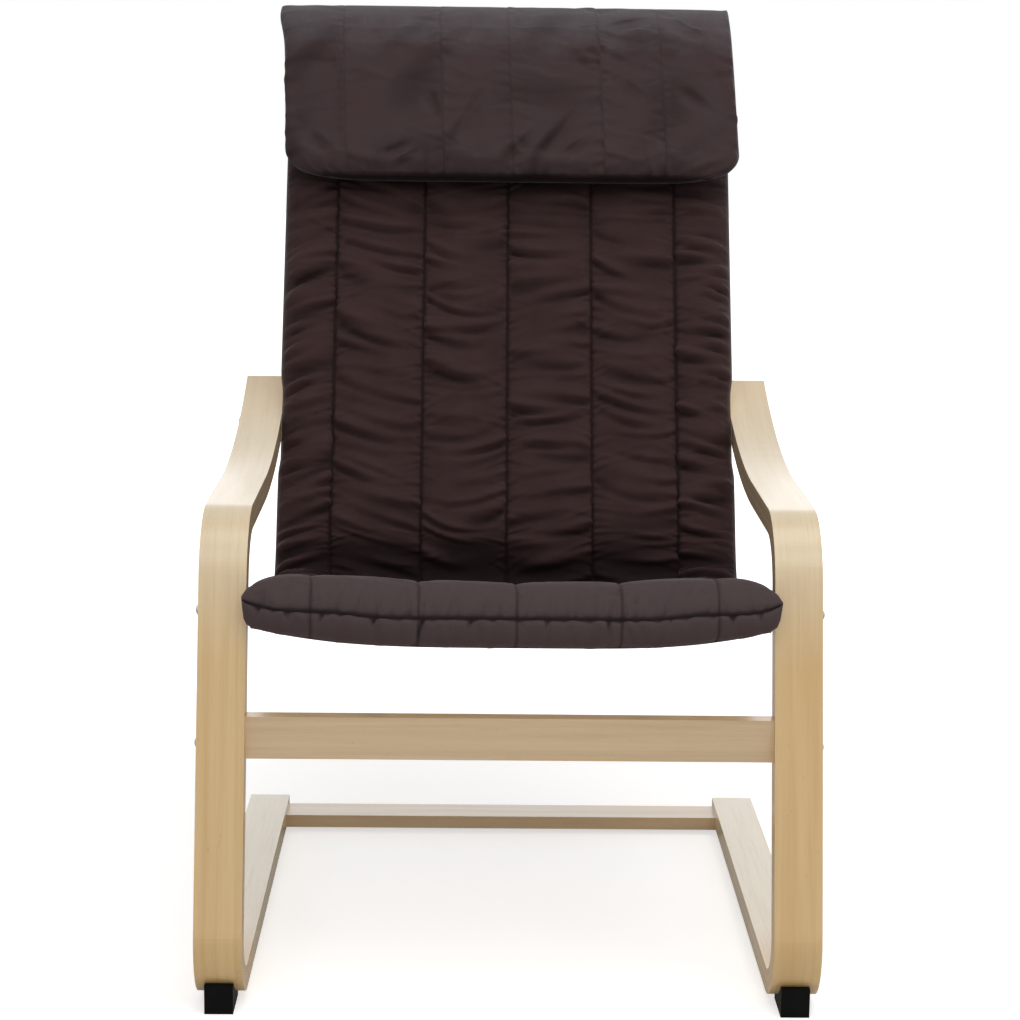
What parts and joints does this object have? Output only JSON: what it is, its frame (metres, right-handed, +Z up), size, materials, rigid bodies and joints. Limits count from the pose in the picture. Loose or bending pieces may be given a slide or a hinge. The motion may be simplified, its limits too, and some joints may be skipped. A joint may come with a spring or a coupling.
{
  "type": "lounge chair",
  "caption": "Bentwood cantilever lounge chair with a slatted seat frame, a quilted brown cushion and a head flap that lifts over the back.",
  "frame": {"origin": "on the floor, midway between the sides and midway between the front of the floor bends and the rearmost point of the back", "axes": "+X to the right as seen from in front of the chair; +Y from its front to its back; +Z up"},
  "size_m": [0.6566, 0.8254, 1.0391],
  "materials": {
    "bent_birch": "clear satin lacquer over laminated birch",
    "solid_birch": "clear satin lacquer",
    "slat_ply": "clear satin lacquer over bent plywood",
    "dowel_wood": "raw beech",
    "bright_steel": "bright nickel plate",
    "zinc_steel": "zinc plate",
    "black_plastic": "fine moulded grain",
    "webbing": "woven polyester webbing",
    "brown_cloth": "fine woven cotton and polyester, quilted"
  },
  "bodies": {
    "chair": {"left_side_frame": "bent_birch", "right_side_frame": "bent_birch", "front_crossbar": "solid_birch", "rear_stretcher": "solid_birch", "left_seat_rail": "bent_birch", "right_seat_rail": "bent_birch", "seat_slat_1": "slat_ply", "seat_slat_2": "slat_ply", "seat_slat_3": "slat_ply", "seat_slat_4": "slat_ply", "back_slat_1": "slat_ply", "back_slat_2": "slat_ply", "back_slat_3": "slat_ply", "back_slat_4": "slat_ply", "back_slat_5": "slat_ply", "top_slat": "slat_ply", "crossbar_bolts": "bright_steel", "seat_rail_bolts": "bright_steel", "arm_bolts": "bright_steel", "stretcher_bolts": "bright_steel", "crossbar_nuts": "zinc_steel", "seat_rail_nuts": "zinc_steel", "arm_nuts": "zinc_steel", "stretcher_nuts": "zinc_steel", "crossbar_dowels": "dowel_wood", "stretcher_dowels": "dowel_wood", "left_front_foot": "black_plastic", "right_front_foot": "black_plastic", "left_rear_glide": "black_plastic", "right_rear_glide": "black_plastic", "foot_screws": "zinc_steel", "glide_screws": "zinc_steel", "cushion_straps": "webbing", "long_cushion": "brown_cloth"},
    "head_flap": {"head_flap": "brown_cloth"}
  },
  "joints": [
    {"name": "head_flap_hinge", "type": "hinge", "parent": "chair", "child": "head_flap", "pos_m": [0, 0.37237, 1.03109], "axis": [-1, 0, 0], "range_deg": [0, 215]}
  ]
}
